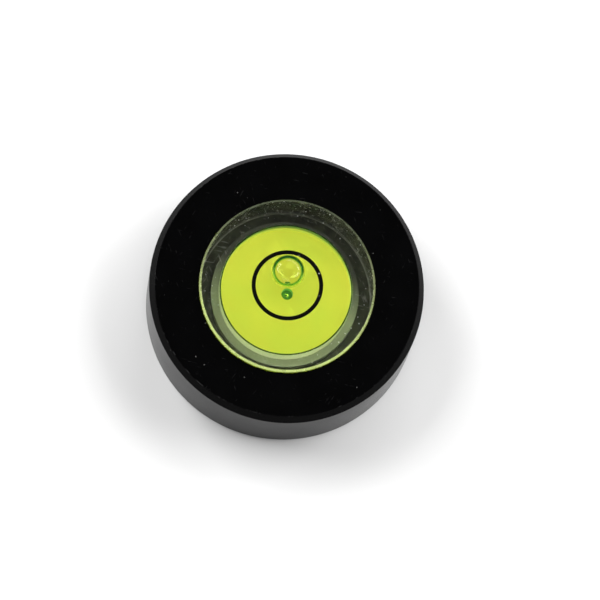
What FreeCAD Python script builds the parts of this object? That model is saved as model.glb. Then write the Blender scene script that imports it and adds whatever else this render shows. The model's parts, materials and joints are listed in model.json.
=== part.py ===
"""Circular bubble level: a turned black cup with a clear liquid-filled vial bonded into it.

Millimetres, +Z up. The origin is the centre of the flat base, and Z is the level's axis.
Each sub-part is one solid and one STEP file in parts/.
"""
import FreeCAD
import Part
import math
import os

# Housing: a cup turned from bar
HOUSING_DIAMETER = 35.0
HOUSING_HEIGHT = 12.6
HOUSING_FLOOR = 1.2
TOP_CHAMFER_WIDTH = 0.66
TOP_CHAMFER_DEPTH = 1.05
FOOT_CHAMFER = 0.2

# Vial: a clear block with a domed chamber cut into it from below
VIAL_DIAMETER = 22.4
VIAL_PROUD = 0.5             # how far the vial stands above the housing's face
VIAL_EDGE_BEVEL = 0.27
WINDOW_THICKNESS = 3.82      # from the vial's top face to the crown of the dome
DOME_RADIUS = 115.0          # 2 mm of bubble travel is one degree of tilt
CHAMBER_DIAMETER = 17.0
CHAMBER_HEIGHT = 4.38        # from the crown of the dome to the chamber's floor
CHAMBER_CORNER = 0.3         # fillet between the dome and the chamber's wall
BOND_GAP = 0.05              # all round the vial, in the housing's bore
BOND_FILM = 0.15             # adhesive under the vial's skirt

# Plug: the welded disc that closes the chamber and is its light floor
PLUG_DIAMETER = 18.9
PLUG_THICKNESS = 2.6
BALL_DIAMETER = 1.5
BALL_GRIP = 0.01             # how much smaller the fill hole's radius is than the ball's
BALL_RECESS = 0.15           # from the plug's underside up to the ball
FILL_HOLE_OFFSET = 0.31      # from the level's axis
FILL_HOLE_BEARING = 29.0     # degrees from +X

# Target ring: black paint that fills a groove in the vial's top face
RING_OUTER_DIAMETER = 9.1
RING_LINE_WIDTH = 0.52
RING_GROOVE_DEPTH = 0.12
RING_PROUD = 0.01

# Liquid and bubble
LIQUID_GAP = 0.03            # between the liquid and what holds it
BUBBLE_DIAMETER = 4.35
BUBBLE_THICKNESS = 2.6
BUBBLE_SHOULDER_SHARE = 0.43  # radius of the rounded side over the thickness; under a half
BUBBLE_GAP = 0.02            # between the bubble and the liquid round it
BUBBLE_OFFSET = 2.6          # from the level's axis to the bubble at rest
BUBBLE_BEARING = 99.0        # degrees from +X to the bubble at rest

# Heights and radii that follow from the sizes above
HOUSING_RADIUS = HOUSING_DIAMETER / 2
VIAL_RADIUS = VIAL_DIAMETER / 2
CHAMBER_RADIUS = CHAMBER_DIAMETER / 2
PLUG_RADIUS = PLUG_DIAMETER / 2
VIAL_TOP = HOUSING_HEIGHT + VIAL_PROUD
VIAL_BOTTOM = HOUSING_FLOOR + BOND_FILM
CROWN = VIAL_TOP - WINDOW_THICKNESS
CHAMBER_FLOOR = CROWN - CHAMBER_HEIGHT
PLUG_BOTTOM = CHAMBER_FLOOR - PLUG_THICKNESS
DOME_CENTRE = CROWN - DOME_RADIUS
BALL_RADIUS = BALL_DIAMETER / 2
FILL_HOLE_X = FILL_HOLE_OFFSET * math.cos(math.radians(FILL_HOLE_BEARING))
FILL_HOLE_Y = FILL_HOLE_OFFSET * math.sin(math.radians(FILL_HOLE_BEARING))
BALL_CENTRE = FreeCAD.Vector(FILL_HOLE_X, FILL_HOLE_Y, PLUG_BOTTOM + BALL_RECESS + BALL_RADIUS)


def point(radius, height):
    """A point of a half section, in the XZ plane."""
    return FreeCAD.Vector(radius, 0, height)


def line(start, end):
    return Part.makeLine(start, end)


def arc(centre, radius, start_angle, end_angle):
    """An arc of a half section; angles in degrees from +X towards +Z."""
    places = []
    for angle in (start_angle, (start_angle + end_angle) / 2, end_angle):
        turn = math.radians(angle)
        places.append(centre + FreeCAD.Vector(radius * math.cos(turn), 0, radius * math.sin(turn)))
    return Part.Arc(*places).toShape()


def revolve(edges):
    """The solid that a closed half section sweeps about the Z axis."""
    face = Part.Face(Part.Wire(Part.__sortEdges__(edges)))
    solid = face.revolve(FreeCAD.Vector(0, 0, 0), FreeCAD.Vector(0, 0, 1), 360)
    return Part.Solid(solid.Shells[0]) if solid.ShapeType != "Solid" else solid


def turned(*corners):
    """A solid of revolution from the corners of a straight-sided half section."""
    places = [point(radius, height) for radius, height in corners]
    return revolve([line(a, b) for a, b in zip(places, places[1:] + places[:1])])


def chamber_shape(gap, floor):
    """The chamber's hollow, drawn in by gap at its wall and dome, down to the height floor."""
    wall = CHAMBER_RADIUS - gap
    dome = DOME_RADIUS - gap
    corner = CHAMBER_CORNER - gap
    centre = point(0, DOME_CENTRE)
    inset = wall - corner
    rise = math.sqrt((dome - corner) ** 2 - inset ** 2)
    corner_centre = point(inset, DOME_CENTRE + rise)
    lean = math.degrees(math.atan2(rise, inset))
    crown = point(0, DOME_CENTRE + dome)
    return revolve([
        arc(centre, dome, 90, lean),
        arc(corner_centre, corner, lean, 0),
        line(point(wall, corner_centre.z), point(wall, floor)),
        line(point(wall, floor), point(0, floor)),
        line(point(0, floor), crown),
    ])


def bubble_shape(grow):
    """The bubble on the level's axis, grown by grow all round.

    Its crown follows the dome, its side is a round shoulder, and its underside is a
    shallow bowl. Each arc runs smoothly into the next.
    """
    dome = DOME_RADIUS - LIQUID_GAP
    dome_centre = point(0, DOME_CENTRE)
    shoulder = BUBBLE_SHOULDER_SHARE * BUBBLE_THICKNESS
    inset = BUBBLE_DIAMETER / 2 - shoulder
    shoulder_centre = point(inset, DOME_CENTRE + math.sqrt((dome - shoulder) ** 2 - inset ** 2))
    crown_lean = math.degrees(math.atan2(shoulder_centre.z - DOME_CENTRE, inset))
    lowest = DOME_CENTRE + dome - BUBBLE_THICKNESS
    rise = shoulder_centre.z - lowest
    bowl = (inset ** 2 + rise ** 2 - shoulder ** 2) / (2 * (rise - shoulder))
    bowl_centre = point(0, lowest + bowl)
    bowl_lean = math.degrees(math.atan2(shoulder_centre.z - bowl_centre.z, inset))
    return revolve([
        arc(dome_centre, dome + grow, 90, crown_lean),
        arc(shoulder_centre, shoulder + grow, crown_lean, bowl_lean),
        arc(bowl_centre, bowl + grow, bowl_lean, -90),
        line(point(0, lowest - grow), point(0, DOME_CENTRE + dome + grow)),
    ])


def at_rest(shape):
    """The shape swung from the level's axis, about the dome's centre, to the bubble's place."""
    swing = math.degrees(math.asin(BUBBLE_OFFSET / DOME_RADIUS))
    bearing = math.radians(BUBBLE_BEARING)
    axis = FreeCAD.Vector(-math.sin(bearing), math.cos(bearing), 0)
    moved = shape.copy()
    moved.rotate(FreeCAD.Vector(0, 0, DOME_CENTRE), axis, swing)
    return moved


def housing():
    bore = VIAL_RADIUS + BOND_GAP
    return turned(
        (0, 0),
        (HOUSING_RADIUS - FOOT_CHAMFER, 0),
        (HOUSING_RADIUS, FOOT_CHAMFER),
        (HOUSING_RADIUS, HOUSING_HEIGHT - TOP_CHAMFER_DEPTH),
        (HOUSING_RADIUS - TOP_CHAMFER_WIDTH, HOUSING_HEIGHT),
        (bore, HOUSING_HEIGHT),
        (bore, HOUSING_FLOOR),
        (0, HOUSING_FLOOR),
    )


def ring_band(bottom, top):
    """The target ring's band between two heights."""
    outer = RING_OUTER_DIAMETER / 2
    inner = outer - RING_LINE_WIDTH
    return turned((inner, bottom), (outer, bottom), (outer, top), (inner, top))


def vial_body():
    block = turned(
        (0, VIAL_BOTTOM),
        (VIAL_RADIUS, VIAL_BOTTOM),
        (VIAL_RADIUS, VIAL_TOP - VIAL_EDGE_BEVEL),
        (VIAL_RADIUS - VIAL_EDGE_BEVEL, VIAL_TOP),
        (0, VIAL_TOP),
    )
    seat = turned(
        (0, VIAL_BOTTOM),
        (PLUG_RADIUS, VIAL_BOTTOM),
        (PLUG_RADIUS, CHAMBER_FLOOR),
        (0, CHAMBER_FLOOR),
    )
    groove = ring_band(VIAL_TOP - RING_GROOVE_DEPTH, VIAL_TOP + RING_GROOVE_DEPTH)
    return block.cut(seat).cut(chamber_shape(0, CHAMBER_FLOOR)).cut(groove)


def target_ring():
    return ring_band(VIAL_TOP - RING_GROOVE_DEPTH, VIAL_TOP + RING_PROUD)


def vial_plug():
    disc = turned(
        (0, PLUG_BOTTOM),
        (PLUG_RADIUS, PLUG_BOTTOM),
        (PLUG_RADIUS, CHAMBER_FLOOR),
        (0, CHAMBER_FLOOR),
    )
    hole_base = FreeCAD.Vector(FILL_HOLE_X, FILL_HOLE_Y, PLUG_BOTTOM)
    hole = Part.makeCylinder(BALL_RADIUS - BALL_GRIP, PLUG_THICKNESS, hole_base)
    return disc.cut(hole)


def fill_ball():
    return Part.makeSphere(BALL_RADIUS, BALL_CENTRE)


def bond_bed():
    """Adhesive: a film under the vial's skirt, and the recess under the plug filled up."""
    return turned(
        (0, HOUSING_FLOOR),
        (VIAL_RADIUS, HOUSING_FLOOR),
        (VIAL_RADIUS, VIAL_BOTTOM),
        (PLUG_RADIUS, VIAL_BOTTOM),
        (PLUG_RADIUS, PLUG_BOTTOM),
        (0, PLUG_BOTTOM),
    )


def liquid():
    """The liquid that fills the chamber round the bubble."""
    floor = CHAMBER_FLOOR + LIQUID_GAP
    return chamber_shape(LIQUID_GAP, floor).cut(at_rest(bubble_shape(BUBBLE_GAP)))


def bubble():
    return at_rest(bubble_shape(0))


SUB_PARTS = {
    "housing": housing,
    "vial_body": vial_body,
    "vial_plug": vial_plug,
    "fill_ball": fill_ball,
    "target_ring": target_ring,
    "bond_bed": bond_bed,
    "liquid": liquid,
    "bubble": bubble,
}


def main():
    os.makedirs("parts", exist_ok=True)
    for node, make in SUB_PARTS.items():
        shape = make()
        solid = shape.Solids[0]
        print(node, "solids", len(shape.Solids), "valid", shape.isValid(), "mm3", round(shape.Volume, 3))
        solid.exportStep(os.path.join("parts", node + ".step"))


main()
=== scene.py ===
"""Looks of the round bubble level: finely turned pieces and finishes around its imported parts.

Metres, in the part's own frame: +Z up along the level's axis, the base on z = 0.
"""
import json
import math

import bpy
from mathutils import Matrix, Vector


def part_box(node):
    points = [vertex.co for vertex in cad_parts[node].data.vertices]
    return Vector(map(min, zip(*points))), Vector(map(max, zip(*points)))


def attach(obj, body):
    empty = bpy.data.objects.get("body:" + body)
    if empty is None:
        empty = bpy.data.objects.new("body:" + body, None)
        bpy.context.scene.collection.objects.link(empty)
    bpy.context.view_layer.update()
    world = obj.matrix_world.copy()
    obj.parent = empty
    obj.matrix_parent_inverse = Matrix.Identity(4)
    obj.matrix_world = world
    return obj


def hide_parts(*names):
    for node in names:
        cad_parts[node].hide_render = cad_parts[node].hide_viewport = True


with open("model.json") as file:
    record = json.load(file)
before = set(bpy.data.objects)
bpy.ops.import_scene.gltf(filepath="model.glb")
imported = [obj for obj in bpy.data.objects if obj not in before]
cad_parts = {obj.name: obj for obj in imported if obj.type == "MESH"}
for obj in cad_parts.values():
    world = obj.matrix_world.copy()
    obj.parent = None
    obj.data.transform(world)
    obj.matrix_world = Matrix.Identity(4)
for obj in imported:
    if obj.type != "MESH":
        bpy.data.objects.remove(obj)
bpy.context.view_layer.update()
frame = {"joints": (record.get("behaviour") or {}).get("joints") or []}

MM = 0.001
AROUND = 192                  # edges round a turned piece
SMOOTH = math.radians(30)     # edges sharper than this stay crisp
SAME_PLACE = 1e-7             # points closer than this are one point

# The side of the vial that catches most of the liquid's light
FRONT = (0.1, -0.995, 0.0)

# Sizes of the turned pieces that their boxes don't give
CHAMFER_WIDTH = 0.66 * MM
CHAMFER_DEPTH = 1.05 * MM
FOOT_CHAMFER = 0.2 * MM
HOUSING_FLOOR = 1.2 * MM
VIAL_BEVEL = 0.27 * MM
CHAMBER_CORNER = 0.3 * MM
MILLED_WALL = 3.9 * MM        # how far the milled wall rises from the chamber's floor
BUBBLE_SHOULDER = 0.43        # radius of the bubble's shoulder, as a share of its thickness
BOND_GAP = 0.05 * MM
LIQUID_GAP = 0.03 * MM
RING_WIDTH = 0.52 * MM
RING_CROWN = 0.018 * MM       # rise of the paint's round top
RING_CLEAR = 0.004 * MM       # between the paint and the walls of its groove
EDGE_BREAK = 0.05 * MM        # the small round that a turned or moulded edge keeps
OVERLAP = 0.01 * MM           # how far wetted and bonded pieces reach into the acrylic
HOLE_EDGE_BREAK = 0.03 * MM   # on the plug and round its fill hole
BOSS_MARGIN = 0.1 * MM        # how much wider than the fill hole's reach the liquid's hidden boss is
ADHESIVE_EDGE_WIDTH = 0.06 * MM   # the chamfer round the adhesive's lower edge
ADHESIVE_EDGE_HEIGHT = 0.05 * MM
ON_A_FACE = 0.01 * MM         # a face's middle this close to a height or radius lies on it
ON_A_WALL = 0.05 * MM         # the same for a wall, whose flat faces cut inside its circle


def box_of(node):
    low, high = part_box(node)
    return Vector(low), Vector(high)


_, housing_high = box_of("housing")
vial_low, vial_high = box_of("vial_body")
plug_low, plug_high = box_of("vial_plug")
ball_low, ball_high = box_of("fill_ball")
ring_low, ring_high = box_of("target_ring")
bond_low, bond_high = box_of("bond_bed")
_, liquid_high = box_of("liquid")
bubble_low, bubble_high = box_of("bubble")
drift = next(joint for joint in frame["joints"] if joint["name"] == "bubble_drift")

HOUSING_RADIUS = housing_high.y
VIAL_RADIUS = vial_high.y
PLUG_RADIUS = plug_high.y
CHAMBER_RADIUS = liquid_high.y + LIQUID_GAP
CHAMBER_FLOOR = plug_high.z
DOME_CENTRE = drift["pos_m"][2]
DOME_RADIUS = liquid_high.z + LIQUID_GAP - DOME_CENTRE
BALL_RADIUS = (ball_high.x - ball_low.x) / 2
BALL_CENTRE = (ball_low + ball_high) / 2
RING_RADIUS = ring_high.y

TURNING_PITCH = 9000.0        # turning marks to the metre


# ---------------------------------------------------------------- shaping

def deselect():
    if bpy.context.object and bpy.context.object.mode != "OBJECT":
        bpy.ops.object.mode_set(mode="OBJECT")
    bpy.ops.object.select_all(action="DESELECT")


def arc(centre, radius, start, end, steps):
    """Points of an arc in a half section, (radius, height), angles in radians from outwards to up."""
    places = []
    for step in range(steps + 1):
        angle = start + (end - start) * step / steps
        places.append((centre[0] + radius * math.cos(angle), centre[1] + radius * math.sin(angle)))
    return places


def select_ring(piece, radius, height):
    """Selects the ring of edges at one radius and height."""
    bpy.ops.mesh.select_all(action="DESELECT")
    bpy.ops.object.mode_set(mode="OBJECT")
    for vertex in piece.data.vertices:
        out = math.hypot(vertex.co.x, vertex.co.y)
        vertex.select = abs(out - radius) < SAME_PLACE and abs(vertex.co.z - height) < SAME_PLACE
    for edge in piece.data.edges:
        edge.select = all(piece.data.vertices[i].select for i in edge.vertices)
    bpy.ops.object.mode_set(mode="EDIT")


def grow_ring(radius, height, next_radius, next_height):
    """Extrudes the selected ring of edges to its next radius and height."""
    rise = next_height - height
    bpy.ops.mesh.extrude_edges_move(TRANSFORM_OT_translate={"value": (0, 0, rise)})
    if next_radius > 0:
        share = next_radius / radius
        bpy.ops.transform.resize(value=(share, share, 1), center_override=(0, 0, 0))
    else:
        bpy.ops.mesh.merge(type="CENTER")


def turn(name, section, around=AROUND, smooth=SMOOTH):
    """A turned piece: a ring of edges is extruded along its half section, a list of (radius, height).

    A section that starts and ends on the axis is closed there; any other runs back to its start.
    """
    deselect()
    on_axis = section[0][0] == 0
    rings = section[1:-1] if on_axis else section
    bpy.ops.mesh.primitive_circle_add(vertices=around, radius=rings[0][0], location=(0, 0, 0))
    piece = bpy.context.object
    piece.name = name
    bpy.ops.object.mode_set(mode="EDIT")
    bpy.ops.mesh.select_mode(type="EDGE")
    bpy.ops.mesh.select_all(action="SELECT")
    bpy.ops.transform.translate(value=(0, 0, rings[0][1]))
    if on_axis:
        grow_ring(*rings[0], *section[0])
        select_ring(piece, *rings[0])
    for here, there in zip(rings, rings[1:]):
        grow_ring(*here, *there)
    grow_ring(*rings[-1], *(section[-1] if on_axis else rings[0]))
    bpy.ops.mesh.select_all(action="SELECT")
    bpy.ops.mesh.remove_doubles(threshold=SAME_PLACE)
    bpy.ops.mesh.normals_make_consistent(inside=False)
    bpy.ops.object.mode_set(mode="OBJECT")
    bpy.ops.object.shade_smooth_by_angle(angle=smooth)
    return piece


def soften_edges(piece, width=EDGE_BREAK):
    """Rounds the sharp edges, as tumbling or anodising leaves them."""
    deselect()
    piece.select_set(True)
    bpy.context.view_layer.objects.active = piece
    rounding = piece.modifiers.new("edge_break", "BEVEL")
    rounding.width = width
    rounding.segments = 3
    rounding.limit_method = "ANGLE"
    rounding.angle_limit = SMOOTH
    rounding.harden_normals = False
    bpy.ops.object.modifier_apply(modifier=rounding.name)
    bpy.ops.object.shade_smooth_by_angle(angle=math.radians(40))


def chamber_section(gap, floor):
    """The chamber's half section from the floor's axis out, up the wall and over the dome."""
    wall = CHAMBER_RADIUS - gap
    dome = DOME_RADIUS - gap
    corner = CHAMBER_CORNER - gap
    inset = wall - corner
    corner_height = DOME_CENTRE + math.sqrt((dome - corner) ** 2 - inset ** 2)
    lean = math.atan2(corner_height - DOME_CENTRE, inset)
    section = [(0, floor), (wall * 0.5, floor), (wall, floor)]
    section += arc((inset, corner_height), corner, 0, lean, 8)
    section += arc((0, DOME_CENTRE), dome, lean, math.pi / 2, 14)[1:-1]
    section.append((0, DOME_CENTRE + dome))
    return section


# ---------------------------------------------------------------- pieces

def make_housing():
    rim = HOUSING_RADIUS
    face = housing_high.z
    bore = VIAL_RADIUS + BOND_GAP
    piece = turn("turned_housing", [
        (0, 0),
        (rim * 0.5, 0),
        (rim - FOOT_CHAMFER, 0),
        (rim, FOOT_CHAMFER),
        (rim, face - CHAMFER_DEPTH),
        (rim - CHAMFER_WIDTH, face),
        (bore, face),
        (bore, HOUSING_FLOOR),
        (bore * 0.5, HOUSING_FLOOR),
        (0, HOUSING_FLOOR),
    ])
    soften_edges(piece)
    return piece


def make_vial():
    top = vial_high.z
    groove = ring_low.z
    ring_inner = RING_RADIUS - RING_WIDTH
    section = [
        (0, top),
        (ring_inner * 0.5, top),
        (ring_inner, top),
        (ring_inner, groove),
        (RING_RADIUS, groove),
        (RING_RADIUS, top),
        (VIAL_RADIUS - VIAL_BEVEL, top),
        (VIAL_RADIUS, top - VIAL_BEVEL),
        (VIAL_RADIUS, vial_low.z),
        (PLUG_RADIUS, vial_low.z),
        (PLUG_RADIUS, CHAMBER_FLOOR),
    ]
    section += chamber_section(0, CHAMBER_FLOOR)[2:]
    piece = turn("clear_vial", section)
    for face in piece.data.polygons:
        face.material_index = vial_finish(face.center)
    return piece


def vial_finish(place):
    """Which finish a face of the vial has: 0 polished, 1 turned, 2 milled, 3 wetted, 4 bevelled."""
    out = math.hypot(place.x, place.y)
    if out > VIAL_RADIUS - 2 * ON_A_FACE and place.z < vial_high.z - VIAL_BEVEL:
        return 1
    if place.z < CHAMBER_FLOOR + ON_A_FACE:
        return 1
    # The ring groove's walls share the bevelled edge's finish and its painted bright line.
    in_groove = RING_RADIUS - RING_WIDTH - ON_A_WALL < out < RING_RADIUS + ON_A_WALL
    on_its_wall = ring_low.z + ON_A_FACE < place.z < vial_high.z - ON_A_FACE
    if out > VIAL_RADIUS - VIAL_BEVEL or (in_groove and on_its_wall):
        return 4
    on_chamber_wall = abs(out - CHAMBER_RADIUS) < ON_A_WALL
    if on_chamber_wall and place.z < CHAMBER_FLOOR + MILLED_WALL:
        return 2
    if out < CHAMBER_RADIUS + ON_A_WALL and place.z < liquid_high.z + LIQUID_GAP + ON_A_FACE:
        return 3
    return 0


def make_liquid():
    """The liquid wets its chamber, and fills the fill hole through a boss hidden in the plug."""
    floor = CHAMBER_FLOOR - OVERLAP
    boss = math.hypot(BALL_CENTRE.x, BALL_CENTRE.y) + BALL_RADIUS + BOSS_MARGIN
    section = [(0, BALL_CENTRE.z), (boss, BALL_CENTRE.z), (boss, floor)]
    section += chamber_section(-OVERLAP, floor)[2:]
    return turn("vial_liquid", section)


def make_bubble():
    """A flattened bubble: its crown follows the dome, and a round shoulder runs into a bowl."""
    dome = DOME_RADIUS - LIQUID_GAP
    middle = (bubble_low + bubble_high) / 2
    offset = math.hypot(middle.x, middle.y)
    swing = math.asin(offset / (middle.z - DOME_CENTRE))
    radius = (bubble_high.x - bubble_low.x) / 2
    thickness = bubble_high.z - bubble_low.z
    shoulder = BUBBLE_SHOULDER * thickness
    inset = radius - shoulder
    height = DOME_CENTRE + math.sqrt((dome - shoulder) ** 2 - inset ** 2)
    crown_lean = math.atan2(height - DOME_CENTRE, inset)
    lowest = DOME_CENTRE + dome - thickness
    rise = height - lowest
    bowl = (inset ** 2 + rise ** 2 - shoulder ** 2) / (2 * (rise - shoulder))
    bowl_lean = math.atan2(height - lowest - bowl, inset)
    section = arc((0, lowest + bowl), bowl, -math.pi / 2, bowl_lean, 14)[:-1]
    section += arc((inset, height), shoulder, bowl_lean, crown_lean, 24)
    section += arc((0, DOME_CENTRE), dome, crown_lean, math.pi / 2, 6)[1:]
    section[0] = (0, lowest)
    section[-1] = (0, DOME_CENTRE + dome)
    piece = turn("air_bubble", section, around=96, smooth=math.pi)
    bpy.ops.object.mode_set(mode="EDIT")
    bpy.ops.mesh.select_all(action="SELECT")
    bearing = math.atan2(middle.y, middle.x)
    bpy.ops.transform.rotate(value=-swing, orient_axis="Y", center_override=(0, 0, DOME_CENTRE))
    bpy.ops.transform.rotate(value=-bearing, orient_axis="Z", center_override=(0, 0, DOME_CENTRE))
    bpy.ops.object.mode_set(mode="OBJECT")
    return piece


def make_plug():
    """The plug's disc, with its fill hole bored through."""
    hole = BALL_RADIUS
    piece = turn("vial_floor", [
        (0, plug_low.z),
        (hole, plug_low.z),
        (PLUG_RADIUS + OVERLAP, plug_low.z),
        (PLUG_RADIUS + OVERLAP, plug_high.z + OVERLAP),
        (hole, plug_high.z + OVERLAP),
        (0, plug_high.z + OVERLAP),
    ])
    deselect()
    bpy.ops.mesh.primitive_cylinder_add(
        vertices=64,
        radius=hole,
        depth=4 * (plug_high.z - plug_low.z),
        location=(BALL_CENTRE.x, BALL_CENTRE.y, plug_low.z))
    drill = bpy.context.object
    boring = piece.modifiers.new("fill_hole", "BOOLEAN")
    boring.object = drill
    boring.solver = "EXACT"
    deselect()
    piece.select_set(True)
    bpy.context.view_layer.objects.active = piece
    bpy.ops.object.modifier_apply(modifier=boring.name)
    bpy.data.objects.remove(drill)
    soften_edges(piece, HOLE_EDGE_BREAK)
    return piece


def make_ball():
    """The steel ball: half a circle turned round the axis, then moved into its hole."""
    section = arc((0, 0), BALL_RADIUS, -math.pi / 2, math.pi / 2, 32)
    section[0] = (0, -BALL_RADIUS)
    section[-1] = (0, BALL_RADIUS)
    piece = turn("steel_ball", section, around=64, smooth=math.pi)
    bpy.ops.object.mode_set(mode="EDIT")
    bpy.ops.mesh.select_all(action="SELECT")
    bpy.ops.transform.translate(value=BALL_CENTRE)
    bpy.ops.object.mode_set(mode="OBJECT")
    return piece


def make_ring():
    """The paint in its groove, a hair clear of the groove's walls, drawn up to a round top as it dried."""
    inner = RING_RADIUS - RING_WIDTH + RING_CLEAR
    outer = RING_RADIUS - RING_CLEAR
    middle = (inner + outer) / 2
    half = (outer - inner) / 2
    crown = (half ** 2 + RING_CROWN ** 2) / (2 * RING_CROWN)
    lean = math.acos(half / crown)
    section = [(inner, ring_low.z + RING_CLEAR), (outer, ring_low.z + RING_CLEAR)]
    section += arc((middle, ring_high.z - crown), crown, lean, math.pi - lean, 12)
    return turn("target_line", section, smooth=math.radians(60))


def make_adhesive():
    """The adhesive bed: a film under the skirt, chamfered below, and a boss under the plug."""
    step = vial_low.z + OVERLAP
    return turn("adhesive_bed", [
        (0, bond_low.z),
        (VIAL_RADIUS - ADHESIVE_EDGE_WIDTH, bond_low.z),
        (VIAL_RADIUS, bond_low.z + ADHESIVE_EDGE_HEIGHT),
        (VIAL_RADIUS, step),
        (PLUG_RADIUS + OVERLAP, step),
        (PLUG_RADIUS + OVERLAP, bond_high.z - OVERLAP),
        (0, bond_high.z - OVERLAP),
    ])


# ---------------------------------------------------------------- materials

def put(tree, kind, inputs=None, **settings):
    """Adds a node, with its settings, and its inputs set to values or joined to sockets."""
    made = tree.nodes.new(kind)
    for name, value in settings.items():
        setattr(made, name, value)
    for name, value in (inputs or {}).items():
        if isinstance(value, bpy.types.NodeSocket):
            tree.links.new(value, made.inputs[name])
        else:
            made.inputs[name].default_value = value
    return made


def math_node(tree, operation, first, second=0.0, clamp=False):
    made = put(tree, "ShaderNodeMath", {0: first, 1: second}, operation=operation)
    made.use_clamp = clamp
    return made.outputs[0]


def new_group(name, inputs, outputs):
    group = bpy.data.node_groups.new(name, "ShaderNodeTree")
    for label, kind, value in inputs:
        socket = group.interface.new_socket(label, in_out="INPUT", socket_type=kind)
        if value is not None:
            socket.default_value = value
    for label, kind in outputs:
        group.interface.new_socket(label, in_out="OUTPUT", socket_type=kind)
    return group, group.nodes.new("NodeGroupInput"), group.nodes.new("NodeGroupOutput")


def speck_group():
    """Sparse round specks, such as dust.

    Size is a speck's radius over its cell's, and Share is how many cells have one.
    """
    group, into, out = new_group(
        "dust_specks",
        [("Vector", "NodeSocketVector", None), ("Scale", "NodeSocketFloat", 1000.0),
         ("Size", "NodeSocketFloat", 0.2), ("Share", "NodeSocketFloat", 0.1)],
        [("Mask", "NodeSocketFloat")])
    wobble = put(group, "ShaderNodeTexNoise", {"Vector": into.outputs["Vector"], "Scale": 9000.0})
    bent = put(group, "ShaderNodeVectorMath", {
        0: wobble.outputs["Color"], "Scale": 0.00006}, operation="SCALE")
    moved = put(group, "ShaderNodeVectorMath", {0: into.outputs["Vector"], 1: bent.outputs[0]})
    cells = put(group, "ShaderNodeTexVoronoi", {"Vector": moved.outputs[0], "Scale": into.outputs["Scale"]})
    kept = put(group, "ShaderNodeSeparateColor", {"Color": cells.outputs["Color"]})
    chosen = math_node(group, "LESS_THAN", kept.outputs["Red"], into.outputs["Share"])
    size = math_node(group, "MULTIPLY", into.outputs["Size"], kept.outputs["Green"])
    inside = math_node(group, "SUBTRACT", size, cells.outputs["Distance"])
    soft = math_node(group, "MULTIPLY", inside, 20.0, clamp=True)
    group.links.new(math_node(group, "MULTIPLY", chosen, soft), out.inputs["Mask"])
    return group


def scratch_group():
    """Fine hairlines in three directions, in scattered patches; Amount from 0 to 1 says how many show."""
    group, into, out = new_group(
        "hairlines",
        [("Vector", "NodeSocketVector", None), ("Scale", "NodeSocketFloat", 5000.0),
         ("Amount", "NodeSocketFloat", 0.3)],
        [("Mask", "NodeSocketFloat")])
    limit = math_node(group, "SUBTRACT", 0.76, math_node(group, "MULTIPLY", into.outputs["Amount"], 0.08))
    total = None
    for angle in (0.3, 1.5, 2.5):
        turned = put(group, "ShaderNodeVectorRotate", {
            "Vector": into.outputs["Vector"], "Angle": angle}, rotation_type="Z_AXIS")
        laid = put(group, "ShaderNodeVectorMath", {
            0: turned.outputs[0], 1: (1.0, 0.12, 0.4)}, operation="MULTIPLY")
        lines = put(group, "ShaderNodeTexNoise", {
            "Vector": laid.outputs[0], "Scale": into.outputs["Scale"], "Detail": 1.0, "Distortion": 0.3})
        above = math_node(group, "SUBTRACT", lines.outputs["Fac"], limit)
        line = math_node(group, "MULTIPLY", above, 25.0, clamp=True)
        patches = put(group, "ShaderNodeTexNoise", {
            "Vector": turned.outputs[0], "Scale": 450.0 + 100.0 * angle})
        patch = math_node(group, "SUBTRACT", patches.outputs["Fac"], 0.5)
        patch = math_node(group, "MULTIPLY", patch, 8.0, clamp=True)
        line = math_node(group, "MULTIPLY", line, patch)
        total = line if total is None else math_node(group, "MAXIMUM", total, line)
    group.links.new(total, out.inputs["Mask"])
    return group


def place_group():
    """Distance from the level's axis, and height above its base."""
    group, into, out = new_group(
        "place_on_level",
        [("Vector", "NodeSocketVector", None)],
        [("Radius", "NodeSocketFloat"), ("Level", "NodeSocketFloat")])
    split = put(group, "ShaderNodeSeparateXYZ", {0: into.outputs["Vector"]})
    flat = put(group, "ShaderNodeCombineXYZ", {"X": split.outputs["X"], "Y": split.outputs["Y"]})
    radius = put(group, "ShaderNodeVectorMath", {0: flat.outputs[0]}, operation="LENGTH")
    group.links.new(radius.outputs["Value"], out.inputs["Radius"])
    group.links.new(split.outputs["Z"], out.inputs["Level"])
    return group


def lit_group():
    """Runs from 0 to 1 across the vial towards the side where the liquid throws its light."""
    group, into, out = new_group(
        "lit_side",
        [("Vector", "NodeSocketVector", None), ("Towards", "NodeSocketVector", None),
         ("Start", "NodeSocketFloat", 0.0), ("End", "NodeSocketFloat", 1.0)],
        [("Share", "NodeSocketFloat")])
    across = put(group, "ShaderNodeVectorMath", {
        0: into.outputs["Vector"], 1: into.outputs["Towards"]}, operation="DOT_PRODUCT")
    share = put(group, "ShaderNodeMapRange", {
        "Value": across.outputs["Value"],
        "From Min": into.outputs["Start"],
        "From Max": into.outputs["End"],
    })
    group.links.new(share.outputs[0], out.inputs["Share"])
    return group


GROUPS = {
    "specks": speck_group(),
    "scratches": scratch_group(),
    "place": place_group(),
    "lit": lit_group(),
}


def use(tree, group, inputs):
    made = tree.nodes.new("ShaderNodeGroup")
    made.node_tree = GROUPS[group]
    for name, value in inputs.items():
        if isinstance(value, bpy.types.NodeSocket):
            tree.links.new(value, made.inputs[name])
        else:
            made.inputs[name].default_value = value
    return made.outputs


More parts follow.
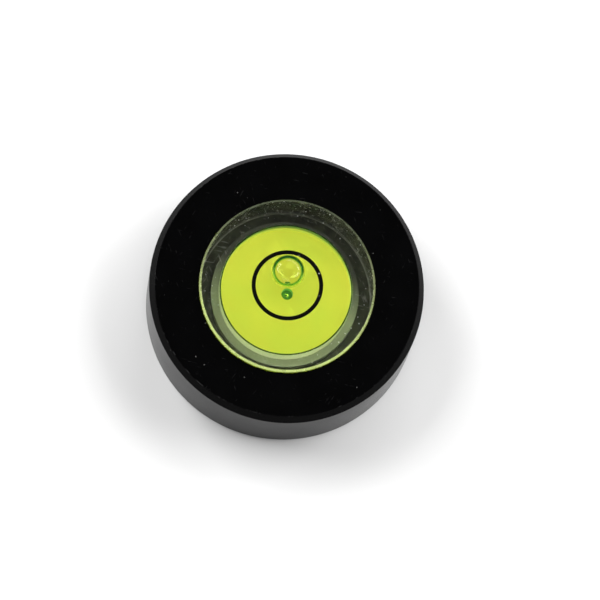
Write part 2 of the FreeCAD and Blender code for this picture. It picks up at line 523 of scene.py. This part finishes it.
def new_material(name, **plain):
    """A material with one Principled shader, its plain sockets set by name, and object coordinates."""
    made = bpy.data.materials.new(name)
    made.use_nodes = True
    tree = made.node_tree
    tree.nodes.clear()
    out = tree.nodes.new("ShaderNodeOutputMaterial")
    shader = tree.nodes.new("ShaderNodeBsdfPrincipled")
    tree.links.new(shader.outputs[0], out.inputs["Surface"])
    for socket, value in plain.items():
        shader.inputs[socket.replace("_", " ")].default_value = value
    place = tree.nodes.new("ShaderNodeTexCoord").outputs["Object"]
    return made, tree, shader, place, out


def mix_colour(tree, share, first, second):
    made = put(tree, "ShaderNodeMix", {0: share}, data_type="RGBA")
    for slot, value in ((6, first), (7, second)):
        if isinstance(value, bpy.types.NodeSocket):
            tree.links.new(value, made.inputs[slot])
        else:
            made.inputs[slot].default_value = (*value, 1.0)
    return made.outputs[2]


def vary(tree, share, low, high):
    """A value that runs from low to high as share runs from 0 to 1."""
    return put(tree, "ShaderNodeMapRange", {"Value": share, "To Min": low, "To Max": high}).outputs[0]


def cloud_of(tree, place, scale, detail):
    """Soft noise from 0 to 1; scale is in clouds to the metre."""
    made = put(tree, "ShaderNodeTexNoise", {"Vector": place, "Scale": scale, "Detail": detail})
    return made.outputs["Fac"]


def bump(tree, height, strength, distance, shader):
    made = put(tree, "ShaderNodeBump", {"Height": height, "Strength": strength, "Distance": distance})
    tree.links.new(made.outputs[0], shader.inputs["Normal"])


def radius_of(tree, place):
    return use(tree, "place", {"Vector": place})["Radius"]


def lit_side(tree, place, towards, start, end):
    """The lit share between two distances towards one side, in chamber radii."""
    return use(tree, "lit", {
        "Vector": place, "Towards": towards,
        "Start": start * CHAMBER_RADIUS, "End": end * CHAMBER_RADIUS})["Share"]


def near(tree, value, target, width):
    """1 where value is at target, falling to 0 at width from it."""
    apart = math_node(tree, "ABSOLUTE", math_node(tree, "SUBTRACT", value, target))
    return math_node(tree, "SUBTRACT", 1.0, math_node(tree, "DIVIDE", apart, width), clamp=True)


def black_anodising():
    """Black anodising over fine turning marks, dusty, and rubbed grey along its edges."""
    made, tree, shader, place, _ = new_material("black_anodising", IOR=1.1)
    where = use(tree, "place", {"Vector": place})
    along = math_node(tree, "ADD", where["Radius"], where["Level"])
    along = math_node(tree, "MULTIPLY", along, TURNING_PITCH)
    grooves = put(tree, "ShaderNodeTexNoise", {
        "W": along, "Scale": 1.0, "Detail": 3.0}, noise_dimensions="1D")
    dust = use(tree, "specks", {"Vector": place, "Scale": 1500.0, "Size": 0.16, "Share": 0.12})["Mask"]
    scratches = use(tree, "scratches", {"Vector": place, "Scale": 5200.0, "Amount": 0.7})["Mask"]
    cloud = cloud_of(tree, place, 260.0, 4.0)
    rubbed = cloud_of(tree, place, 1400.0, 3.0)
    shoulder = near(tree, where["Level"], housing_high.z - CHAMFER_DEPTH, 0.06 * MM)
    lip = near(tree, where["Radius"], HOUSING_RADIUS - CHAMFER_WIDTH, 0.06 * MM)
    lip = math_node(tree, "MULTIPLY", lip, near(tree, where["Level"], housing_high.z, 0.07 * MM))
    edges = math_node(tree, "MAXIMUM", lip, shoulder)
    spots = math_node(tree, "SUBTRACT", rubbed, 0.58)
    spots = math_node(tree, "MULTIPLY", spots, 8.0, clamp=True)
    worn = math_node(tree, "MULTIPLY", edges, spots)
    colour = mix_colour(tree, cloud, (0.0003, 0.0003, 0.0003), (0.0008, 0.0008, 0.0009))
    colour = mix_colour(tree, math_node(tree, "MULTIPLY", worn, 0.5), colour, (0.06, 0.06, 0.06))
    colour = mix_colour(tree, math_node(tree, "MULTIPLY", dust, 0.5), colour, (0.09, 0.09, 0.085))
    colour = mix_colour(tree, math_node(tree, "MULTIPLY", scratches, 0.3), colour, (0.01, 0.01, 0.01))
    tree.links.new(colour, shader.inputs["Base Color"])
    rough = vary(tree, cloud, 0.15, 0.22)
    rough = math_node(tree, "ADD", rough, math_node(tree, "MULTIPLY", scratches, 0.12))
    tree.links.new(rough, shader.inputs["Roughness"])
    height = math_node(
        tree, "SUBTRACT", grooves.outputs["Fac"], math_node(tree, "MULTIPLY", scratches, 0.6))
    bump(tree, height, 0.25, 0.002 * MM, shader)
    return made


def clear_acrylic():
    """Clear polished acrylic, with the dust and fine scratches of a handled face; the dust and scratches
    also glow with painted glints.
    """
    made, tree, shader, place, _ = new_material(
        "clear_acrylic", IOR=1.49, Transmission_Weight=1.0, Emission_Strength=0.16)
    outer = math_node(tree, "GREATER_THAN", radius_of(tree, place), CHAMBER_RADIUS + 0.2 * MM)
    dust = use(tree, "specks", {"Vector": place, "Scale": 2300.0, "Size": 0.22, "Share": 0.45})["Mask"]
    dust = math_node(tree, "MULTIPLY", dust, outer)
    scratches = use(tree, "scratches", {"Vector": place, "Scale": 4200.0, "Amount": 1.7})["Mask"]
    scratches = math_node(tree, "MULTIPLY", scratches, outer)
    rough = math_node(tree, "MULTIPLY", scratches, 0.12)
    rough = math_node(tree, "MAXIMUM", rough, math_node(tree, "MULTIPLY", dust, 0.6))
    tree.links.new(rough, shader.inputs["Roughness"])
    tree.links.new(mix_colour(tree, dust, (1.0, 1.0, 1.0), (0.7, 0.7, 0.66)), shader.inputs["Base Color"])
    # Painted glints: the dust and scratches glow as if they caught the lamps.
    painted_glint_mask = math_node(tree, "MAXIMUM", dust, math_node(tree, "MULTIPLY", scratches, 0.5))
    painted_glints = mix_colour(tree, painted_glint_mask, (0.0, 0.0, 0.0), (0.9, 0.95, 0.75))
    tree.links.new(painted_glints, shader.inputs["Emission Color"])
    bump(tree, math_node(tree, "MULTIPLY", scratches, -1.0), 0.1, 0.002 * MM, shader)
    return made


def wetted_acrylic():
    """The chamber's roof, where the liquid's like index leaves next to no reflection, with a painted dark
    line of shade round its edge.
    """
    made, tree, shader, place, _ = new_material(
        "wetted_acrylic", IOR=1.49, Transmission_Weight=1.0, Roughness=0.0, Specular_Tint=(0, 0, 0, 1))
    haze = cloud_of(tree, place, 200.0, 2.0)
    colour = mix_colour(tree, haze, (0.98, 0.99, 0.97), (1.0, 1.0, 1.0))
    # Painted shade: a dark green line where the roof meets the chamber's wall.
    corner = math_node(tree, "GREATER_THAN", radius_of(tree, place), CHAMBER_RADIUS - 0.2 * MM)
    tree.links.new(mix_colour(tree, corner, colour, (0.004, 0.02, 0.004)), shader.inputs["Base Color"])
    return made


def turned_acrylic():
    """The vial's skirt as the lathe left it: hazy, with scuffs and grit along it. Its haze is painted pale
    yellow-green in streaks as the liquid's light scattered in it, and the scuffs and grit glow with painted
    glints.
    """
    made, tree, shader, place, _ = new_material(
        "turned_acrylic", IOR=1.49, Transmission_Weight=0.75, Emission_Strength=0.12)
    haze = cloud_of(tree, place, 500.0, 5.0)
    grit = use(tree, "specks", {"Vector": place, "Scale": 1500.0, "Size": 0.3, "Share": 0.35})["Mask"]
    scratches = use(tree, "scratches", {"Vector": place, "Scale": 3600.0, "Amount": 1.0})["Mask"]
    marks_and_glints = math_node(tree, "MAXIMUM", grit, math_node(tree, "MULTIPLY", scratches, 0.5))
    # Streaks of the turning haze, their pale yellow-green a painted glow of the liquid's light.
    painted_glow_streaks = put(tree, "ShaderNodeMapRange", {
        "Value": haze, "From Min": 0.36, "From Max": 0.6}).outputs[0]
    colour = mix_colour(tree, painted_glow_streaks, (0.08, 0.087, 0.045), (0.5, 0.53, 0.32))
    tree.links.new(mix_colour(tree, marks_and_glints, colour, (0.95, 0.97, 0.85)), shader.inputs["Base Color"])
    rough = math_node(tree, "ADD", vary(tree, haze, 0.1, 0.2), math_node(tree, "MULTIPLY", marks_and_glints, 0.3))
    tree.links.new(rough, shader.inputs["Roughness"])
    # Painted glints: the grit and scuffs glow as if they caught the lamps.
    painted_glints = mix_colour(tree, marks_and_glints, (0.0, 0.0, 0.0), (0.9, 0.95, 0.75))
    tree.links.new(painted_glints, shader.inputs["Emission Color"])
    bump(tree, haze, 0.15, 0.01 * MM, shader)
    return made


def milled_acrylic():
    """The chamber's wall, left matt by the milling cutter, with the liquid's light behind it painted on: a
    painted pale glow on its front side, painted dark green shade on its far side, and a painted yellow
    reflection of the glowing floor low down.
    """
    made, tree, shader, place, _ = new_material(
        "milled_acrylic", IOR=1.49, Transmission_Weight=0.6, Emission_Strength=0.48)
    haze = cloud_of(tree, place, 300.0, 4.0)
    lit = lit_side(tree, place, FRONT, -0.55, -0.15)
    level = use(tree, "place", {"Vector": place})["Level"]
    # Share of the painted floor reflection, 1 at the foot of the wall.
    low = math_node(tree, "SUBTRACT", CHAMBER_FLOOR + 0.5 * MILLED_WALL, level)
    low = math_node(tree, "DIVIDE", low, 0.25 * MILLED_WALL, clamp=True)
    # Painted light and shade: pale on the front side, dark green on the far side.
    pale = mix_colour(tree, haze, (0.62, 0.74, 0.42), (0.76, 0.86, 0.56))
    tree.links.new(mix_colour(tree, lit, (0.0, 0.2, 0.12), pale), shader.inputs["Base Color"])
    tree.links.new(vary(tree, haze, 0.25, 0.45), shader.inputs["Roughness"])
    # Painted glow on the front side; on the far side painted shade, with a painted reflection of the yellow
    # floor near the floor.
    painted_glow = mix_colour(tree, haze, (0.62, 0.75, 0.36), (0.8, 0.88, 0.5))
    shade = mix_colour(tree, low, (0.0, 0.09, 0.04), (1.0, 0.86, 0.15))
    tree.links.new(mix_colour(tree, lit, shade, painted_glow), shader.inputs["Emission Color"])
    return made


def bevelled_acrylic():
    """The vial's broken edge, with a painted bright yellow-green line of the liquid's light on its front
    side, painted darker round its back.
    """
    made, tree, shader, place, _ = new_material(
        "bevelled_acrylic", IOR=1.49, Transmission_Weight=0.75, Emission_Strength=0.1)
    wear_and_glow_cloud = cloud_of(tree, place, 900.0, 4.0)
    lit = lit_side(tree, place, FRONT, -1.0, 0.6)
    # Painted light: a bright yellow-green line on the front side, darker behind.
    edge = mix_colour(tree, wear_and_glow_cloud, (0.4, 0.46, 0.2), (0.58, 0.65, 0.31))
    tree.links.new(mix_colour(tree, lit, (0.1, 0.12, 0.07), edge), shader.inputs["Base Color"])
    painted_glow = mix_colour(tree, wear_and_glow_cloud, (0.7, 0.85, 0.25), (0.9, 1.0, 0.4))
    tree.links.new(mix_colour(tree, lit, (0.1, 0.12, 0.05), painted_glow), shader.inputs["Emission Color"])
    tree.links.new(vary(tree, wear_and_glow_cloud, 0.15, 0.4), shader.inputs["Roughness"])
    bump(tree, wear_and_glow_cloud, 0.1, 0.01 * MM, shader)
    return made


def add_absorption(made, tree, out, colour, density):
    soaked = put(tree, "ShaderNodeVolumeAbsorption", {"Color": (*colour, 1.0), "Density": density})
    tree.links.new(soaked.outputs[0], out.inputs["Volume"])
    return made


def dyed_liquid():
    """Yellow-green dyed liquid, clear but for a few motes."""
    made, tree, shader, place, out = new_material(
        "dyed_liquid", IOR=1.40, Transmission_Weight=1.0, Roughness=0.0, Specular_Tint=(0, 0, 0, 1))
    motes = use(tree, "specks", {"Vector": place, "Scale": 900.0, "Size": 0.06, "Share": 0.03})["Mask"]
    tint = mix_colour(tree, motes, (1.0, 1.0, 1.0), (0.5, 0.6, 0.2))
    tree.links.new(tint, shader.inputs["Base Color"])
    return add_absorption(made, tree, out, (0.74, 0.965, 0.01), 230.0)


def bubble_air():
    """Air inside the liquid, so light speeds up as it goes in; painted a warm tint in its middle, where
    less liquid lies over it, and painted dark green shade round its rim.
    """
    made, tree, shader, place, _ = new_material(
        "bubble_air", IOR=1 / 1.40, Transmission_Weight=1.0, Roughness=0.0)
    # Noise that mottles the bubble's painted warm tint.
    film = put(tree, "ShaderNodeTexNoise", {"Vector": place, "Scale": 500.0}).outputs["Fac"]
    side = put(tree, "ShaderNodeLayerWeight", {"Blend": 0.5}).outputs["Facing"]
    # Painted shade: dark green where the bubble's side turns away.
    rim = put(tree, "ShaderNodeMapRange", {"Value": side, "From Min": 0.25, "From Max": 0.46}).outputs[0]
    colour = mix_colour(tree, film, (1.0, 0.93, 0.8), (1.0, 0.96, 0.86))
    tree.links.new(mix_colour(tree, rim, colour, (0.01, 0.22, 0.07)), shader.inputs["Base Color"])
    return made


def pale_plug():
    """The plug's pale plastic, with painted light: a painted glow under the dyed liquid, a little brighter
    towards the back and mottled green; round its side painted light on the front and painted shade behind;
    painted green shade and glow in its hole.
    """
    made, tree, shader, place, _ = new_material("pale_plug", IOR=1.49, Emission_Strength=0.72)
    cloud = cloud_of(tree, place, 180.0, 3.0)
    grit = use(tree, "specks", {"Vector": place, "Scale": 1200.0, "Size": 0.1, "Share": 0.04})["Mask"]
    colour = mix_colour(tree, cloud, (0.34, 0.26, 0.14), (0.38, 0.30, 0.17))
    colour = mix_colour(tree, math_node(tree, "MULTIPLY", grit, 0.4), colour, (0.3, 0.34, 0.1))
    where = use(tree, "place", {"Vector": place})
    rim = math_node(tree, "GREATER_THAN", where["Radius"], CHAMBER_RADIUS)
    # Painted light and shade round the plug's side: lit on the front, dark behind.
    lit = lit_side(tree, place, FRONT, -0.45, 0.25)
    rim_painted_light_and_shade = mix_colour(tree, lit, (0.04, 0.046, 0.024), (0.27, 0.32, 0.16))
    colour = mix_colour(tree, rim, colour, rim_painted_light_and_shade)
    below = math_node(tree, "LESS_THAN", where["Level"], CHAMBER_FLOOR - 0.05 * MM)
    inner = math_node(tree, "LESS_THAN", where["Radius"], 2 * BALL_RADIUS)
    hole = math_node(tree, "MULTIPLY", below, inner)
    # Painted green shade in the fill hole, as the liquid's colour seen in it.
    colour = mix_colour(tree, hole, colour, (0.18, 0.46, 0.2))
    tree.links.new(colour, shader.inputs["Base Color"])
    # Painted glow of the plug under the liquid, a little brighter towards the back, mottled green at
    # random.
    nearer = lit_side(tree, place, FRONT, -1.0, 1.0)
    painted_glow = mix_colour(tree, nearer, (0.96, 0.81, 0.145), (0.72, 0.595, 0.105))
    greener = put(tree, "ShaderNodeMapRange", {
        "Value": cloud, "From Min": 0.38, "From Max": 0.62, "To Max": 0.3}).outputs[0]
    painted_glow = mix_colour(tree, greener, painted_glow, (0.48, 0.59, 0.1))
    # The rim gets no painted glow; the hole gets a painted green glow.
    rim_and_hole = math_node(tree, "MAXIMUM", rim, hole)
    painted_hole_glow = mix_colour(tree, hole, (0.0, 0.0, 0.0), (0.13, 0.32, 0.12))
    tree.links.new(mix_colour(tree, rim_and_hole, painted_glow, painted_hole_glow), shader.inputs["Emission Color"])
    tree.links.new(vary(tree, cloud, 0.35, 0.5), shader.inputs["Roughness"])
    bump(tree, cloud, 0.1, 0.01 * MM, shader)
    return made


def gloss_paint():
    """Thick black paint, slightly rippled, with pale specks of dust that also stand in for the paint's
    small glints.
    """
    made, tree, shader, place, _ = new_material("gloss_black_paint", IOR=1.25)
    cloud = cloud_of(tree, place, 1800.0, 3.0)
    # Pale specks: dust on the paint, and painted glints where it catches the lamps.
    dust = use(tree, "specks", {"Vector": place, "Scale": 2600.0, "Size": 0.3, "Share": 0.1})["Mask"]
    dust = math_node(tree, "MULTIPLY", dust, 0.5)
    colour = mix_colour(tree, dust, (0.001, 0.001, 0.001), (0.5, 0.5, 0.45))
    tree.links.new(colour, shader.inputs["Base Color"])
    tree.links.new(vary(tree, cloud, 0.03, 0.12), shader.inputs["Roughness"])
    bump(tree, cloud, 0.5, 0.03 * MM, shader)
    return made


def ball_steel():
    """A bearing ball's polished steel."""
    made, tree, shader, place, _ = new_material("ball_steel", Metallic=1.0)
    cloud = cloud_of(tree, place, 3000.0, 4.0)
    scratches = use(tree, "scratches", {"Vector": place, "Scale": 9000.0, "Amount": 0.5})["Mask"]
    tree.links.new(mix_colour(tree, cloud, (0.5, 0.5, 0.5), (0.62, 0.62, 0.6)), shader.inputs["Base Color"])
    rough = vary(tree, cloud, 0.08, 0.16)
    rough = math_node(tree, "ADD", rough, math_node(tree, "MULTIPLY", scratches, 0.2))
    tree.links.new(rough, shader.inputs["Roughness"])
    return made


def dark_adhesive():
    """Dark adhesive, wetted to the acrylic above it: painted lighter on its front side as the liquid's
    light, with a painted pale highlight along its outer edge.
    """
    made, tree, shader, place, _ = new_material("dark_adhesive", IOR=1.1)
    cloud = cloud_of(tree, place, 700.0, 4.0)
    # Painted highlight along the adhesive's outer edge.
    painted_highlight_edge = math_node(tree, "GREATER_THAN", radius_of(tree, place), VIAL_RADIUS - 0.16 * MM)
    colour = mix_colour(tree, cloud, (0.008, 0.009, 0.004), (0.1, 0.11, 0.06))
    # Painted light: lighter on the front side, where the liquid's light falls.
    colour = mix_colour(tree, lit_side(tree, place, FRONT, -0.2, 0.6), colour, (0.14, 0.16, 0.09))
    tree.links.new(mix_colour(tree, painted_highlight_edge, colour, (0.2, 0.21, 0.15)), shader.inputs["Base Color"])
    tree.links.new(vary(tree, cloud, 0.4, 0.6), shader.inputs["Roughness"])
    bump(tree, cloud, 0.3, 0.02 * MM, shader)
    return made


def pale_floor():
    """The studio's matt paper."""
    made, tree, shader, place, _ = new_material("pale_floor", Specular_IOR_Level=0.0, Roughness=0.9)
    grain = cloud_of(tree, place, 60.0, 3.0)
    paper = mix_colour(tree, grain, (0.455, 0.455, 0.455), (0.47, 0.47, 0.47))
    tree.links.new(paper, shader.inputs["Base Color"])
    return made


# ---------------------------------------------------------------- assembly

def dress(piece, finishes, body, slot, *nodes):
    """Gives a piece its finishes and its body, and hides the imported node it stands for."""
    kept = [face.material_index for face in piece.data.polygons]
    piece.data.materials.clear()
    for finish in finishes:
        piece.data.materials.append(finish)
    for face, index in zip(piece.data.polygons, kept):
        face.material_index = min(index, len(finishes) - 1)
    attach(piece, body)
    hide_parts(*nodes)


dress(make_housing(), [black_anodising()], "level", "anodised", "housing")
dress(make_vial(), [
    clear_acrylic(),
    turned_acrylic(),
    milled_acrylic(),
    wetted_acrylic(),
    bevelled_acrylic(),
], "level", "clear_acrylic", "vial_body")
dress(make_plug(), [pale_plug()], "level", "plug_plastic", "vial_plug")
dress(make_ball(), [ball_steel()], "level", "ball_steel", "fill_ball")
dress(make_ring(), [gloss_paint()], "level", "ring_paint", "target_ring")
dress(make_adhesive(), [dark_adhesive()], "level", "adhesive", "bond_bed")
dress(make_liquid(), [dyed_liquid()], "liquid_swirl", "vial_liquid", "liquid")
dress(make_bubble(), [bubble_air()], "bubble_float", "air", "bubble")


# ---------------------------------------------------------------- studio

SOFTBOX_SIZE = 0.50
CAMERA_ELEVATION = math.radians(77.5)
CAMERA_ROLL = math.radians(16.0)
CAMERA_DISTANCE = 38 * HOUSING_RADIUS


def add_floor():
    deselect()
    bpy.ops.mesh.primitive_plane_add(size=3.0, location=(0, 0, 0))
    floor = bpy.context.object
    floor.name = "studio_floor"
    floor.data.materials.append(pale_floor())


def add_softbox(name, place, power):
    """A square softbox aimed at the level."""
    light = bpy.data.lights.new(name, "AREA")
    light.shape = "SQUARE"
    light.size = SOFTBOX_SIZE
    light.energy = power
    lamp = bpy.data.objects.new(name, light)
    bpy.context.scene.collection.objects.link(lamp)
    lamp.location = place
    lamp.rotation_euler = (-Vector(place)).to_track_quat("-Z", "Y").to_euler()


def add_camera():
    """Looks steeply down at the level through a long lens, the camera rolled a little."""
    lens = bpy.data.cameras.new("camera")
    lens.sensor_width = 36.0
    lens.lens = 308.7
    lens.clip_start = 0.05
    lens.clip_end = 10.0
    lens.shift_x = 0.0312
    lens.shift_y = 0.0113
    camera = bpy.data.objects.new("camera", lens)
    bpy.context.scene.collection.objects.link(camera)
    back = Vector((0, -math.cos(CAMERA_ELEVATION), math.sin(CAMERA_ELEVATION)))
    camera.location = back * CAMERA_DISTANCE
    right = Vector((1, 0, 0))
    up = back.cross(right)
    rolled_right = right * math.cos(CAMERA_ROLL) + up * math.sin(CAMERA_ROLL)
    rolled_up = up * math.cos(CAMERA_ROLL) - right * math.sin(CAMERA_ROLL)
    turned = Matrix((rolled_right, rolled_up, back)).transposed()
    camera.rotation_euler = turned.to_euler()
    bpy.context.scene.camera = camera


def add_world():
    """A dark room round the level, behind a white backdrop that only the camera sees."""
    world = bpy.data.worlds.new("studio")
    world.use_nodes = True
    tree = world.node_tree
    sky = tree.nodes["Background"]
    direct = tree.nodes.new("ShaderNodeLightPath").outputs["Is Camera Ray"]
    tree.links.new(mix_colour(tree, direct, (0.14, 0.14, 0.14), (1.0, 1.0, 1.0)), sky.inputs["Color"])
    bpy.context.scene.world = world


add_floor()
add_softbox("right_softbox", (0.464, 0.257, 0.530), 8.4)
add_softbox("left_softbox", (-0.519, 0.179, 0.512), 10.2)
add_softbox("back_softbox", (0.087, 0.550, 0.502), 3.6)
add_softbox("front_fill", (0.0, -0.450, 0.600), 1.9)
add_camera()
add_world()
bpy.context.scene.view_settings.view_transform = "Standard"
